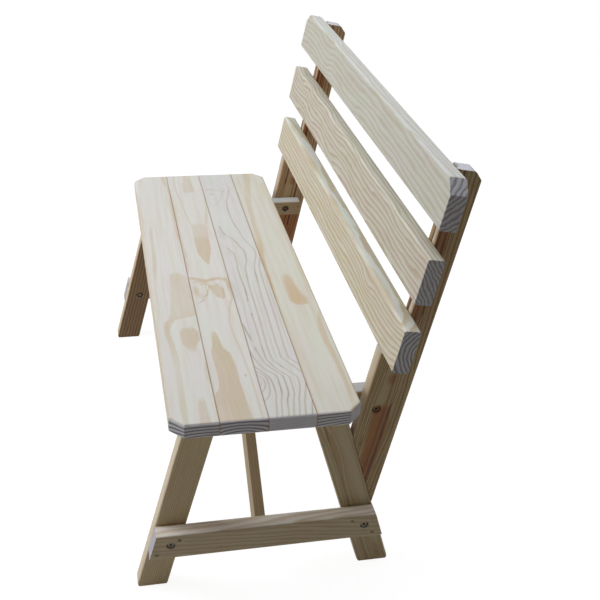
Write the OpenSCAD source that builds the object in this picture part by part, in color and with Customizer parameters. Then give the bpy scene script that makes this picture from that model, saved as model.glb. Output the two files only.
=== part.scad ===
// Pine bench with a slatted back on two raked end frames.
// Origin: floor level, at the middle of the whole bench's length and depth.
// +Z is up, the bench faces -Y, and its length runs along X.

/* [Seat] */
// Length of the seat
seat_length = 1100; // [800:10:1600]
// Height of the seat's top above the floor
seat_height = 466; // [380:1:560]
// Width of each of the four seat boards
board_width = 90; // [72:1:110]
// Joint left between two seat boards
board_gap = 0.5; // [0.2:0.1:6]
// Corner clipped off each outer corner of the seat, seen from above
seat_corner = 26; // [12:1:60]

/* [Timber] */
// Thickness of every planed board, leg, rail and post
stock = 33; // [24:1:42]
// Rounding along the edges of legs, rails, posts and slats
edge_round = 5; // [1:0.5:8]
// Rounding around the seat's rim
rim_round = 6; // [1:0.5:10]
// Arris taken off sawn ends and board joints
arris = 1.2; // [0.4:0.1:3]

/* [Legs] */
// Distance from the seat's end to the outer face of the legs
leg_inset = 66; // [40:1:120]
// Width of the front legs
front_leg_width = 62; // [48:1:80]
// Width of the rear legs
rear_leg_width = 65; // [48:1:80]
// Lean of the front legs, their feet standing forward
front_leg_lean = 13.6; // [6:0.1:20]
// Lean of the rear legs, their feet standing back
rear_leg_lean = 17.3; // [8:0.1:22]
// Distance from the seat's front edge back to the top of the front legs
front_leg_setback = 38; // [20:1:70]
// Distance from the seat's rear edge forward to the top of the rear legs
rear_leg_setback = 22; // [5:1:50]
// Radius of the corners of each foot
foot_round = 7; // [2:1:20]

/* [End rails] */
// Height of the end rails
rail_height = 61; // [50:1:90]
// Height of the end rails' top edge above the floor
rail_top = 166; // [120:1:240]

/* [Bearers and cleat] */
// Height of the seat bearers and of the middle cleat
bearer_height = 40; // [28:1:60]
// Distance from the seat's front edge back to the end of the bearers
bearer_inset = 20; // [8:1:40]
// Distance that the bearers run on behind the pivot bolts
bearer_tail = 40; // [30:1:60]

/* [Braces] */
// Thickness of the braces
brace_thickness = 21; // [15:1:33]
// Depth of the braces
brace_depth = 57; // [40:1:70]
// Distance of the braces' upper edge below the end rails' top edge
brace_foot_drop = 23; // [10:1:35]
// Distance from the middle of the bench to the braces' upper edge under the seat
brace_head_offset = 92; // [60:1:160]
// Distance of the braces behind the middle of the seat's depth
brace_setback = 8; // [-40:1:40]

/* [Back] */
// Backward lean of the back
back_lean = 10; // [5:0.5:16]
// Gap between the seat's rear edge and the posts, at the seat's top
back_gap = 28; // [24:1:45]
// Width of the posts below the slats
post_width = 84; // [76:1:100]
// Depth of the notch that takes the slats
slat_notch = 34; // [20:1:40]
// Distance that the slats end short of the seat's ends
slat_end_inset = 2.5; // [0:0.5:30]
// Width of each slat
slat_width = 91; // [60:1:110]
// Gap between two slats
slat_gap = 55; // [20:1:90]
// Distance along the posts from the seat's top to the lowest slat
slat_start = 80; // [40:1:120]
// Distance that the posts stand above the top slat
post_top_margin = 0; // [0:1:40]
// Corner clipped off the top of each post
post_clip = 17; // [5:1:35]
// Corners clipped off the upper edge of the top slat
slat_clip = 24; // [3:1:40]

/* [Fasteners] */
// Diameter of the bolts
bolt_d = 8; // [6:0.5:10]
// Diameter of the bolt heads
bolt_head_d = 14; // [12:0.5:18]
// Height of the bolt heads
bolt_head_h = 5; // [4:0.5:8]
// Width across the flats of the socket in the bolt heads
socket_width = 6; // [4:0.5:8]
// Width across the flats of the nuts
nut_width = 13; // [11:0.5:17]
// Height of the nuts
nut_h = 6.5; // [5:0.5:9]
// Diameter of the washers
washer_d = 16; // [14:0.5:22]
// Thickness of the washers
washer_t = 1.6; // [1:0.1:2.5]
// Diameter of the counterbores at both ends of the bolts
counterbore_d = 18.5; // [17:0.5:26]
// Depth of the counterbores over the bolt heads
head_counterbore = 10; // [8:0.5:14]
// Depth of the counterbores over the nuts
nut_counterbore = 12; // [11:0.5:15]
// Distance of the rail bolts below the end rails' top edge
rail_bolt_drop = 26; // [18:1:35]
// Distance of the rail bolts behind the middle of the legs
rail_bolt_setback = 3; // [-6:0.5:6]
// Distance of the rail screws from the end rails' top and bottom edges
rail_screw_edge = 13; // [10:1:18]
// Distance of the pivot bolts behind the posts' front faces
pivot_depth = 28; // [22:1:40]
// Distance of the pivot bolts below the middle of the bearers' height
pivot_drop = 1; // [0:0.5:5]
// Diameter of the wood screws
screw_d = 4.5; // [3.5:0.5:6]
// Diameter of the wood screws' heads
screw_head_d = 8.4; // [7:0.2:11]
// Length of the rail, seat and brace screws
screw_length = 50; // [45:1:60]
// Depth that the slat screws reach into the slats
slat_screw_bite = 16; // [10:1:24]
// Depth that the wood screws are sunk
screw_sink = 2; // [0.5:0.5:4]

/* [Fits] */
// Radial clearance of the bolts in their bores, also the running fit of the pivots
bolt_clearance = 0.1; // [0.05:0.01:0.1]
// Radial clearance of the wood screws in their holes
screw_clearance = 0.15; // [0.1:0.05:0.3]
// Side play of each post between its bearer and its bolt
side_play = 0.3; // [0.2:0.1:1]
// Gap between the mitred foot of each post and the rear leg that stops it
stop_gap = 0.3; // [0.2:0.1:1]

/* [Hidden] */
$fn = 48;
cut = 1;
board_count = 4;
slat_count = 3;
sides = [-1, 1];

// Seat
seat_depth = board_count * board_width + (board_count - 1) * board_gap;
seat_underside = seat_height - stock;

// Planes along X of the right end frame, from the inside out
leg_outer = seat_length / 2 - leg_inset;
leg_inner = leg_outer - stock;
bearer_inner = leg_inner - stock;
bearer_middle = bearer_inner + stock / 2;
rail_outer = leg_outer + stock;
post_inner = leg_inner + side_play;
post_outer = post_inner + stock;

// Edges of the legs and posts, as y at height z
function front_leg_front(z) = front_leg_setback - (seat_underside - z) * tan(front_leg_lean);
function front_leg_middle(z) = front_leg_front(z) + front_leg_width / cos(front_leg_lean) / 2;
function rear_leg_back(z) =
    seat_depth - rear_leg_setback + (seat_underside - z) * tan(rear_leg_lean);
function rear_leg_middle(z) = rear_leg_back(z) - rear_leg_width / cos(rear_leg_lean) / 2;
post_foot_y = seat_depth + back_gap - seat_height * tan(back_lean);
function post_front(z) = post_foot_y + z * tan(back_lean);

// Bearers
bearer_bottom = seat_underside - bearer_height;
bearer_mid_height = seat_underside - bearer_height / 2;
pivot_height = bearer_mid_height - pivot_drop;
pivot_y = post_front(pivot_height) + pivot_depth;
bearer_rear = pivot_y + bearer_tail;
front_bolt_y = front_leg_middle(bearer_mid_height);
rear_bolt_y = rear_leg_middle(bearer_mid_height);

// Back, measured along the posts from floor level and behind their front face
seat_along_post = seat_height / cos(back_lean);
slat_ledge = seat_along_post + slat_start;
slat_pitch = slat_width + slat_gap;
post_top = slat_ledge + (slat_count - 1) * slat_pitch + slat_width + post_top_margin;
slat_length = seat_length - 2 * slat_end_inset;
slat_screw_length = post_width - slat_notch - screw_sink + slat_screw_bite;

// Lower end of each post: it stops just above the end rail
post_tip_clearance = 1.5;
post_tip = rail_top + post_tip_clearance;

// End rails
rail_bottom = rail_top - rail_height;
rail_bolt_height = rail_top - rail_bolt_drop;
rail_screw_high = rail_top - rail_screw_edge;
rail_screw_low = rail_bottom + rail_screw_edge;

// Braces
brace_foot_height = rail_top - brace_foot_drop;
brace_angle = atan2(
    seat_underside - brace_foot_height,
    leg_outer - brace_head_offset
);
brace_front = seat_depth / 2 + brace_setback - brace_thickness / 2;
cleat_face = stock / 2;
function brace_top_z(x) = brace_foot_height + (leg_outer - x) * tan(brace_angle);
function brace_bottom_z(x) = brace_top_z(x) - brace_depth / cos(brace_angle);

// Screws
screw_bite = 21;
screw_head_rim = 0.6;
screw_head_depth = (screw_head_d - screw_d) / 2 + screw_head_rim;
screw_tip = 7;
screw_level = seat_underside + screw_bite - screw_length;
brace_foot_bite = 20;
brace_foot_screw_drop = 4;
brace_foot_screw_z = (rail_bottom + brace_foot_height) / 2 - brace_foot_screw_drop;
brace_head_screw_places = [0.45, 0.8];
slat_screw_places = [0.3, 0.7];
outer_board_places = [0.35, 0.85];
inner_board_places = [0.25, 0.75];
bolt_keep_out = 12;
bearer_bolt_ys = [front_bolt_y, rear_bolt_y, pivot_y];

// A seat screw steers clear of any bolt that crosses the bearer near it
function nearest_bolts(y) = [for (b = bearer_bolt_ys) if (abs(y - b) < bolt_keep_out) b];
function clear_of_bolts(y) =
    let (near = nearest_bolts(y))
    len(near) == 0 ? y : near[0] + (y < near[0] ? -bolt_keep_out : bolt_keep_out);
function board_start(i) = i * (board_width + board_gap);
function board_places(i) =
    i == 0 ? outer_board_places
    : i == board_count - 1 ? [for (p = outer_board_places) 1 - p]
    : inner_board_places;
function seat_screw_ys(i) =
    [for (p = board_places(i)) clear_of_bolts(board_start(i) + p * board_width)];
all_seat_screw_ys = [for (i = [0:board_count - 1]) for (y = seat_screw_ys(i)) y];
cleat_screw_ys = [for (i = [0:board_count - 1]) board_start(i) + board_width / 2];

// Middle of the whole bench's depth: the toes of the front feet lie furthest forward
// and the clipped corners of the posts furthest back
front_most =
    front_leg_front(foot_round) + foot_round / cos(front_leg_lean) - foot_round;
post_clip_round = 0.6 * post_clip;
clip_turn = 45;
clip_centre_along = post_top - post_clip - post_clip_round * tan(clip_turn / 2);
rear_most = post_foot_y + clip_centre_along * sin(back_lean)
    + (post_width - post_clip_round) * cos(back_lean) + post_clip_round;
middle_y = (front_most + rear_most) / 2;

// Timber colours
pale_pine = "#e9d9b4";
warm_pine = "#dfc592";
steel = "#b9bcc0";

// ---------------------------------------------------------------- outlines

// Point and unit vector helpers
function unit(v) = v / norm(v);
function corner_in(points, i) = points[(i + len(points) - 1) % len(points)];
function corner_out(points, i) = points[(i + 1) % len(points)];
function corner_turn(points, i) =
    let (a = unit(corner_in(points, i) - points[i]), b = unit(corner_out(points, i) - points[i]))
    acos(a * b);

// Distance from a corner to where its rounding meets the two sides
function tangent_length(points, i, r) = r / tan(corner_turn(points, i) / 2);
function tangent_points(points, i, r) =
    let (t = tangent_length(points, i, r), p = points[i])
    [p + t * unit(corner_in(points, i) - p), p + t * unit(corner_out(points, i) - p)];
function rounding_centre(points, i, r) =
    let (p = points[i],
         a = unit(corner_in(points, i) - p),
         b = unit(corner_out(points, i) - p))
    p + unit(a + b) * r / sin(corner_turn(points, i) / 2);

// A convex outline whose corners are rounded by true circles, one radius per corner
module soft_outline(points, radii) {
    union() {
        polygon([
            for (i = [0:len(points) - 1])
                for (p = radii[i] > 0 ? tangent_points(points, i, radii[i]) : [points[i]]) p
        ]);
        for (i = [0:len(points) - 1])
            if (radii[i] > 0)
                translate(rounding_centre(points, i, radii[i]))
                    circle(r = radii[i]);
    }
}

// A rectangle with its corners at low and high and all four rounded
module soft_rectangle(low, high, r) {
    soft_outline(
        [low, [high[0], low[1]], high, [low[0], high[1]]],
        [r, r, r, r]
    );
}

// Children drawn in the Y-Z plane, extruded from x0 to x1
module along_x(x0, x1) {
    translate([x0, 0, 0])
        rotate([90, 0, 90])
            linear_extrude(height = x1 - x0) children();
}

// Children drawn in the X-Z plane, extruded from y0 to y1
module along_y(y0, y1) {
    translate([0, y1, 0])
        rotate([90, 0, 0])
            linear_extrude(height = y1 - y0) children();
}

// Children drawn in the X-Y plane, extruded from z0 to z1
module along_z(z0, z1) {
    translate([0, 0, z0])
        linear_extrude(height = z1 - z0) children();
}

// A planed bar between two corners: four long edges rounded, its ends with an arris
module planed_bar_x(low, high) {
    intersection() {
        along_x(low[0], high[0]) soft_rectangle([low[1], low[2]], [high[1], high[2]], edge_round);
        along_y(low[1], high[1]) soft_rectangle([low[0], low[2]], [high[0], high[2]], arris);
        along_z(low[2], high[2]) soft_rectangle([low[0], low[1]], [high[0], high[1]], arris);
    }
}

module planed_bar_y(low, high) {
    intersection() {
        along_y(low[1], high[1]) soft_rectangle([low[0], low[2]], [high[0], high[2]], edge_round);
        along_x(low[0], high[0]) soft_rectangle([low[1], low[2]], [high[1], high[2]], arris);
        along_z(low[2], high[2]) soft_rectangle([low[0], low[1]], [high[0], high[1]], arris);
    }
}

// ---------------------------------------------------------------- placing

// Moves the seat-front frame to the frame of the whole bench
module bench() {
    translate([0, -middle_y, 0]) children();
}

// Everything is drawn at the right end; the left end is its mirror image
module at_side(side) {
    if (side < 0)
        mirror([1, 0, 0]) children();
    else
        children();
}

module at_both_sides() {
    for (side = sides) at_side(side) children();
}

// The frame of the posts: Z along the post, Y square to its front face
module on_post() {
    translate([0, post_foot_y, 0])
        rotate([-back_lean, 0, 0]) children();
}

// Turns a fastener drawn along Z so that its head points along +X
module head_to_x() {
    rotate([0, 90, 0]) children();
}

// ---------------------------------------------------------------- fasteners

// Planes of a bolt through two members whose outer and inner faces are at x = outer, inner
function head_plane(outer) = outer - head_counterbore;
function nut_plane(inner) = inner + nut_counterbore;
bolt_stick_out = 2;
bolt_edge = 0.8;
socket_share = 0.6;

module bolt(outer, inner, play = 0) {
    seat = head_plane(outer) + washer_t + play;
    tip = nut_plane(inner) - washer_t - nut_h - bolt_stick_out;
    socket_depth = bolt_head_h * socket_share;
    head_to_x() {
        difference() {
            rotate_extrude() polygon([
                [0, tip], [bolt_d / 2 - bolt_edge, tip], [bolt_d / 2, tip + bolt_edge],
                [bolt_d / 2, seat], [bolt_head_d / 2, seat],
                [bolt_head_d / 2, seat + bolt_head_h - bolt_edge],
                [bolt_head_d / 2 - bolt_edge, seat + bolt_head_h],
                [0, seat + bolt_head_h]
            ]);
            translate([0, 0, seat + bolt_head_h - socket_depth])
                cylinder(h = socket_depth + cut, d = socket_width / cos(30), $fn = 6);
        }
    }
}

module bolt_washers(outer, inner, play = 0) {
    for (x = [head_plane(outer) + play, nut_plane(inner) - washer_t])
        translate([x, 0, 0]) head_to_x() difference() {
            cylinder(h = washer_t, d = washer_d);
            translate([0, 0, -cut])
                cylinder(h = washer_t + 2 * cut, r = bolt_d / 2 + bolt_clearance);
        }
}

module bolt_nut(inner) {
    corner_r = nut_width / cos(30) / 2;
    bevel = corner_r - nut_width / 2;
    translate([nut_plane(inner) - washer_t - nut_h, 0, 0]) head_to_x() difference() {
        intersection() {
            cylinder(h = nut_h, r = corner_r, $fn = 6);
            rotate_extrude() polygon([
                [0, 0], [nut_width / 2, 0], [corner_r, bevel],
                [corner_r, nut_h - bevel], [nut_width / 2, nut_h], [0, nut_h]
            ]);
        }
        translate([0, 0, -cut])
            cylinder(h = nut_h + 2 * cut, r = bolt_d / 2 + bolt_clearance);
    }
}

// Bore for a bolt, with a counterbore at the head's end and one at the nut's end
module bolt_bore(outer, inner) {
    head_to_x() {
        translate([0, 0, inner - cut])
            cylinder(h = outer - inner + 2 * cut, r = bolt_d / 2 + bolt_clearance);
        translate([0, 0, head_plane(outer)])
            cylinder(h = head_counterbore + cut, d = counterbore_d);
        translate([0, 0, inner - cut])
            cylinder(h = nut_counterbore + cut, d = counterbore_d);
    }
}

// A countersunk wood screw: the top of its head is at z = 0 and it points down
cross_share = 0.55;
cross_short = 1;
cross_deep = 1.6;

module wood_screw(length) {
    cross_long = cross_share * screw_head_d;
    difference() {
        rotate_extrude() polygon([
            [0, 0], [screw_head_d / 2, 0], [screw_d / 2, -screw_head_depth],
            [screw_d / 2, -(length - screw_tip)], [0, -length]
        ]);
        for (turn = [0, 90])
            rotate([0, 0, turn])
                translate([-cross_long / 2, -cross_short / 2, -cross_deep])
                    cube([cross_long, cross_short, cross_deep + cut]);
    }
}

// The hole of that screw, open upwards for a depth of sink above its head
module screw_hole(length, sink) {
    shank = screw_d / 2 + screw_clearance;
    head = screw_head_d / 2 + screw_clearance;
    rotate_extrude() polygon([
        [0, -length - cut], [shank, -length - cut], [shank, -screw_head_depth],
        [head, -screw_clearance / 2], [head, sink + cut], [0, sink + cut]
    ]);
}

// Where the bolts cross the end frames, as [y, z]
rail_leg_middles = [front_leg_middle(rail_bolt_height), rear_leg_middle(rail_bolt_height)];
rail_bolt_spots = [for (y = rail_leg_middles) [y + rail_bolt_setback, rail_bolt_height]];
leg_bolt_spots = [[front_bolt_y, bearer_mid_height], [rear_bolt_y, bearer_mid_height]];
pivot_spot = [pivot_y, pivot_height];

// The rail screws lie on a diagonal across each leg, the upper one towards the middle
front_screw_reach = [20, -25];
rear_screw_reach = [-24, 21];
rail_screw_spots = [
    [rail_leg_middles[0] + front_screw_reach[0], rail_screw_high],
    [rail_leg_middles[0] + front_screw_reach[1], rail_screw_low],
    [rail_leg_middles[1] + rear_screw_reach[0], rail_screw_high],
    [rail_leg_middles[1] + rear_screw_reach[1], rail_screw_low]
];

module at_spots(spots) {
    for (spot = spots) translate([0, spot[0], spot[1]]) children();
}

module place_rail_screws() {
    at_spots(rail_screw_spots)
        translate([rail_outer - screw_sink, 0, 0]) head_to_x() children();
}

// Seat and cleat screws point up, so they are turned over at the level of their heads
module place_seat_screws(ys) {
    for (y = ys)
        translate([bearer_middle, y, screw_level]) rotate([180, 0, 0]) children();
}

module place_cleat_screws() {
    for (y = cleat_screw_ys)
        translate([0, y, screw_level]) rotate([180, 0, 0]) children();
}

module place_brace_head_screws() {
    for (p = brace_head_screw_places)
        translate([p * brace_head_offset, brace_front + brace_thickness / 2, screw_level])
            rotate([180, 0, 0]) children();
}

module place_brace_foot_screw() {
    translate([
        leg_outer + brace_foot_bite - screw_length,
        brace_front + brace_thickness / 2,
        brace_foot_screw_z
    ])
        rotate([0, -90, 0]) children();
}

// Slat screws enter the posts from behind
module place_slat_screws(i) {
    on_post()
        for (p = slat_screw_places)
            translate([
                (post_inner + post_outer) / 2,
                post_width - screw_sink,
                slat_ledge + i * slat_pitch + p * slat_width
            ])
                rotate([-90, 0, 0]) children();
}

// ---------------------------------------------------------------- seat

// Joint edges of a board carry an arris; the seat's rim is fully rounded
module joint_arris(i) {
    y0 = board_start(i);
    front = i == 0 ? 0 : arris;
    back = i == board_count - 1 ? 0 : arris;
    along_x(-seat_length, seat_length) polygon([
        [y0 + front, seat_underside], [y0 + board_width - back, seat_underside],
        [y0 + board_width, seat_underside + back], [y0 + board_width, seat_height - back],
        [y0 + board_width - back, seat_height], [y0 + front, seat_height],
        [y0, seat_height - front], [y0, seat_underside + front]
    ]);
}

// The board's ends, rounded over at top and bottom, from y0 to y1
module board_ends(y0, y1) {
    along_y(y0, y1)
        soft_rectangle(
            [-seat_length / 2, seat_underside], [seat_length / 2, seat_height], rim_round
        );
}

// All that lies inside the saw cut across a front corner of the seat
module inside_corner_cut() {
    reach = 2 * seat_length;
    translate([seat_length / 2, seat_corner, 0]) rotate([0, 0, -45])
        along_y(-reach, reach) soft_outline(
            [
                [-reach, seat_underside], [0, seat_underside],
                [0, seat_height], [-reach, seat_height]
            ],
            [0, rim_round, rim_round, 0]
        );
}

// The front board; the rear one is its mirror image
module edge_board_blank() {
    intersection() {
        board_ends(-stock, board_width + stock);
        along_x(-seat_length, seat_length) soft_outline(
            [
                [0, seat_underside], [board_width, seat_underside],
                [board_width, seat_height], [0, seat_height]
            ],
            [rim_round, 0, 0, rim_round]
        );
        at_side(1) inside_corner_cut();
        at_side(-1) inside_corner_cut();
    }
}

module seat_board(i) {
    color(i % 2 == 0 ? pale_pine : warm_pine) bench() difference() {
        intersection() {
            joint_arris(i);
            if (i == 0)
                edge_board_blank();
            else if (i == board_count - 1)
                translate([0, seat_depth, 0]) mirror([0, 1, 0]) edge_board_blank();
            else
                board_ends(board_start(i), board_start(i) + board_width);
        }
        at_both_sides() place_seat_screws(seat_screw_ys(i)) screw_hole(screw_length, 0);
        place_cleat_screws() screw_hole(screw_length, 0);
        at_both_sides() place_brace_head_screws() screw_hole(screw_length, 0);
    }
}

module seat_cleat() {
    sink = screw_level - bearer_bottom;
    color(warm_pine) bench() difference() {
        planed_bar_y(
            [-cleat_face, bearer_inset, bearer_bottom],
            [cleat_face, seat_depth - bearer_inset, seat_underside]
        );
        place_cleat_screws() screw_hole(screw_length, sink);
    }
}

module seat_bearer(side) {
    sink = screw_level - bearer_bottom;
    color(warm_pine) bench() at_side(side) difference() {
        planed_bar_y(
            [bearer_inner, bearer_inset, bearer_bottom],
            [leg_inner, bearer_rear, seat_underside]
        );
        at_spots(concat(leg_bolt_spots, [pivot_spot])) bolt_bore(leg_outer, bearer_inner);
        place_seat_screws(all_seat_screw_ys) screw_hole(screw_length, sink);
    }
}

// ---------------------------------------------------------------- end frames

// A leg: a planed bar along its lean, cut level at the floor and at the seat
module leg_blank(foot_y, lean, width, outline) {
    reach = seat_height / cos(lean) + width;
    intersection() {
        translate([0, foot_y, 0]) rotate([-lean, 0, 0])
            along_z(-width, reach)
                soft_rectangle([leg_inner, 0], [leg_outer, width], edge_round);
        along_y(-seat_depth, 2 * seat_depth)
            soft_rectangle([leg_inner, 0], [leg_outer, seat_underside], arris);
        along_x(leg_inner, leg_outer) soft_outline(outline, [foot_round, foot_round, 0, 0]);
    }
}

module leg_holes() {
    at_spots(leg_bolt_spots) bolt_bore(leg_outer, bearer_inner);
    at_spots(rail_bolt_spots) bolt_bore(rail_outer, leg_inner);
    place_rail_screws() screw_hole(screw_length, screw_sink);
}

module front_leg(side) {
    run = front_leg_width / cos(front_leg_lean);
    color(pale_pine) bench() at_side(side) difference() {
        leg_blank(front_leg_front(0), front_leg_lean, front_leg_width, [
            [front_leg_front(0), 0], [front_leg_front(0) + run, 0],
            [front_leg_front(seat_underside) + run, seat_underside],
            [front_leg_front(seat_underside), seat_underside]
        ]);
        leg_holes();
    }
}

module rear_leg(side) {
    run = rear_leg_width / cos(rear_leg_lean);
    color(pale_pine) bench() at_side(side) difference() {
        leg_blank(rear_leg_back(0) - run, -rear_leg_lean, rear_leg_width, [
            [rear_leg_back(0) - run, 0], [rear_leg_back(0), 0],
            [rear_leg_back(seat_underside), seat_underside],
            [rear_leg_back(seat_underside) - run, seat_underside]
        ]);
        leg_holes();
    }
}

// An end rail: its ends are cut in line with the edges of the legs
module end_rail(side) {
    color(pale_pine) bench() at_side(side) difference() {
        intersection() {
            along_y(-seat_depth, 2 * seat_depth)
                soft_rectangle([leg_outer, rail_bottom], [rail_outer, rail_top], edge_round);
            along_x(leg_outer, rail_outer) soft_outline([
                [front_leg_front(rail_bottom), rail_bottom],
                [rear_leg_back(rail_bottom), rail_bottom],
                [rear_leg_back(rail_top), rail_top],
                [front_leg_front(rail_top), rail_top]
            ], [arris, arris, arris, arris]);
        }
        at_spots(rail_bolt_spots) bolt_bore(rail_outer, leg_inner);
        place_rail_screws() screw_hole(screw_length, screw_sink);
        place_brace_foot_screw() screw_hole(screw_length, 0);
    }
}

// A brace from the end rail up to the seat's underside and the middle cleat
module brace(side) {
    color(warm_pine) bench() at_side(side) difference() {
        along_y(brace_front, brace_front + brace_thickness) intersection() {
            polygon([
                [leg_outer, brace_bottom_z(leg_outer)], [leg_outer, brace_foot_height],
                [brace_head_offset, seat_underside], [cleat_face, seat_underside],
                [cleat_face, brace_bottom_z(cleat_face)]
            ]);
            translate([0, rail_bottom]) square([leg_outer, seat_underside]);
        }
        place_brace_foot_screw() screw_hole(screw_length, brace_depth);
        place_brace_head_screws() screw_hole(screw_length, brace_depth);
    }
}

// ---------------------------------------------------------------- back

// The post in its own frame: a wide foot, a notched upper part and a clipped top corner
module post_blank() {
    union() {
        along_z(0, slat_ledge)
            soft_rectangle([post_inner, 0], [post_outer, post_width], edge_round);
        intersection() {
            along_z(slat_ledge - edge_round, post_top)
                soft_rectangle([post_inner, slat_notch], [post_outer, post_width], edge_round);
            along_x(post_inner, post_outer) soft_outline([
                [slat_notch, 0], [post_width, 0], [post_width, post_top - post_clip],
                [post_width - post_clip, post_top], [slat_notch, post_top]
            ], [0, 0, post_clip_round, post_clip_round, arris]);
            along_y(0, 2 * post_width)
                soft_rectangle([post_inner, 0], [post_outer, post_top], arris);
        }
    }
}

// Space behind the rear leg and above the end rail, which the mitred foot may fill
module post_room() {
    step = stop_gap / cos(rear_leg_lean);
    far = 2 * seat_depth;
    high = 2 * seat_height + post_top;
    along_x(post_inner - cut, post_outer + cut) polygon([
        [rear_leg_back(post_tip) + step, post_tip], [far, post_tip], [far, high],
        [rear_leg_back(high) + step, high]
    ]);
}

module back_post(side) {
    color(warm_pine) bench() at_side(side) difference() {
        intersection() {
            on_post() post_blank();
            post_room();
        }
        at_spots([pivot_spot]) translate([side_play, 0, 0]) bolt_bore(leg_outer, bearer_inner);
        for (i = [0:slat_count - 1]) place_slat_screws(i) screw_hole(slat_screw_length, screw_sink);
    }
}

// The top slat is a planed bar whose upper corners are clipped and eased
slat_clip_round = 4;
module clipped_bar_x(low, high, clip) {
    ease = slat_clip_round;
    intersection() {
        along_x(low[0], high[0]) soft_rectangle([low[1], low[2]], [high[1], high[2]], edge_round);
        along_y(low[1], high[1]) soft_outline(
            [
                [low[0], low[2]], [high[0], low[2]],
                [high[0], high[2] - clip], [high[0] - clip, high[2]],
                [low[0] + clip, high[2]], [low[0], high[2] - clip]
            ],
            [arris, arris, ease, ease, ease, ease]
        );
        along_z(low[2], high[2]) soft_rectangle([low[0], low[1]], [high[0], high[1]], arris);
    }
}

module back_slat(i) {
    z0 = slat_ledge + i * slat_pitch;
    low = [-slat_length / 2, slat_notch - stock, z0];
    high = [slat_length / 2, slat_notch, z0 + slat_width];
    color(pale_pine) bench() difference() {
        on_post()
            if (i == slat_count - 1)
                clipped_bar_x(low, high, slat_clip);
            else
                planed_bar_x(low, high);
        at_both_sides() place_slat_screws(i) screw_hole(slat_screw_length, 0);
    }
}

// ---------------------------------------------------------------- fastener groups

module pivot_bolts() {
    color(steel) bench() at_both_sides() at_spots([pivot_spot])
        bolt(leg_outer + side_play, bearer_inner, side_play);
}

module pivot_washers() {
    color(steel) bench() at_both_sides() at_spots([pivot_spot])
        bolt_washers(leg_outer + side_play, bearer_inner, side_play);
}

module pivot_nuts() {
    color(steel) bench() at_both_sides() at_spots([pivot_spot]) bolt_nut(bearer_inner);
}

module rail_bolts() {
    color(steel) bench() at_both_sides() at_spots(rail_bolt_spots) bolt(rail_outer, leg_inner);
}

module rail_washers() {
    color(steel) bench() at_both_sides() at_spots(rail_bolt_spots)
        bolt_washers(rail_outer, leg_inner);
}

module rail_nuts() {
    color(steel) bench() at_both_sides() at_spots(rail_bolt_spots) bolt_nut(leg_inner);
}

module rail_screws() {
    color(steel) bench() at_both_sides() place_rail_screws() wood_screw(screw_length);
}

module leg_bolts() {
    color(steel) bench() at_both_sides() at_spots(leg_bolt_spots) bolt(leg_outer, bearer_inner);
}

module leg_washers() {
    color(steel) bench() at_both_sides() at_spots(leg_bolt_spots)
        bolt_washers(leg_outer, bearer_inner);
}

module leg_nuts() {
    color(steel) bench() at_both_sides() at_spots(leg_bolt_spots) bolt_nut(bearer_inner);
}

module seat_screws() {
    color(steel) bench() at_both_sides() place_seat_screws(all_seat_screw_ys)
        wood_screw(screw_length);
}

module cleat_screws() {
    color(steel) bench() place_cleat_screws() wood_screw(screw_length);
}

module brace_foot_screws() {
    color(steel) bench() at_both_sides() place_brace_foot_screw() wood_screw(screw_length);
}

module brace_head_screws() {
    color(steel) bench() at_both_sides() place_brace_head_screws() wood_screw(screw_length);
}

module slat_screws() {
    color(steel) bench() at_both_sides()
        for (i = [0:slat_count - 1]) place_slat_screws(i) wood_screw(slat_screw_length);
}

// ---------------------------------------------------------------- the bench

seat_board(0);  // seat_board_1
seat_board(1);  // seat_board_2
seat_board(2);  // seat_board_3
seat_board(3);  // seat_board_4
seat_cleat();
seat_bearer(-1);  // seat_bearer_left
seat_bearer(1);  // seat_bearer_right
front_leg(-1);  // front_leg_left
front_leg(1);  // front_leg_right
rear_leg(-1);  // rear_leg_left
rear_leg(1);  // rear_leg_right
end_rail(-1);  // end_rail_left
end_rail(1);  // end_rail_right
brace(-1);  // brace_left
brace(1);  // brace_right
back_post(-1);  // back_post_left
back_post(1);  // back_post_right
back_slat(0);  // back_slat_bottom
back_slat(1);  // back_slat_middle
back_slat(2);  // back_slat_top
pivot_bolts();
pivot_washers();
pivot_nuts();
rail_bolts();
rail_washers();
rail_nuts();
rail_screws();
leg_bolts();
leg_washers();
leg_nuts();
seat_screws();
cleat_screws();
brace_foot_screws();
brace_head_screws();
slat_screws();
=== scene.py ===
import math

import bpy
from mathutils import Matrix, Vector


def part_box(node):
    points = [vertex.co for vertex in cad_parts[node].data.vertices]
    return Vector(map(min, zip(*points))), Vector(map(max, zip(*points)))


bl_info = {
    "name": "Pine bench",
    "version": (1, 0, 0),
    "blender": (4, 5, 0),
    "location": "3D View > Sidebar > Pine bench",
    "description": "Finishes the timber and fasteners of a slatted-back pine bench",
    "category": "Material",
}

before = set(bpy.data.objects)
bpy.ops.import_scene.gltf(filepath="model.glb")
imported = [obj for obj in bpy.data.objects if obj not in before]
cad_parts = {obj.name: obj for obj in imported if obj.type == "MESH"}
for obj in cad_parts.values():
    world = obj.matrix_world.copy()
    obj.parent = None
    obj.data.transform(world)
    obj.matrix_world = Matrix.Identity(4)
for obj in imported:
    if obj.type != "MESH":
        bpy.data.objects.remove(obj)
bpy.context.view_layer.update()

# Sizes of the bench, in metres
MM = 1000.0              # millimetres in a metre
STOCK = 0.033
POST_BELOW_SLATS = 0.5532
BACK_LEAN = math.radians(10.0)
FRONT_LEG_LEAN = math.radians(13.6)
REAR_LEG_LEAN = math.radians(17.3)


def srgb(red, green, blue):
    """Scene-linear colour of three screen values from 0 to 255."""
    def one(value):
        value = value / 255.0
        return value / 12.92 if value <= 0.04045 else ((value + 0.055) / 1.055) ** 2.4
    return (one(red), one(green), one(blue))


# ---------------------------------------------------------------- settings

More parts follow.
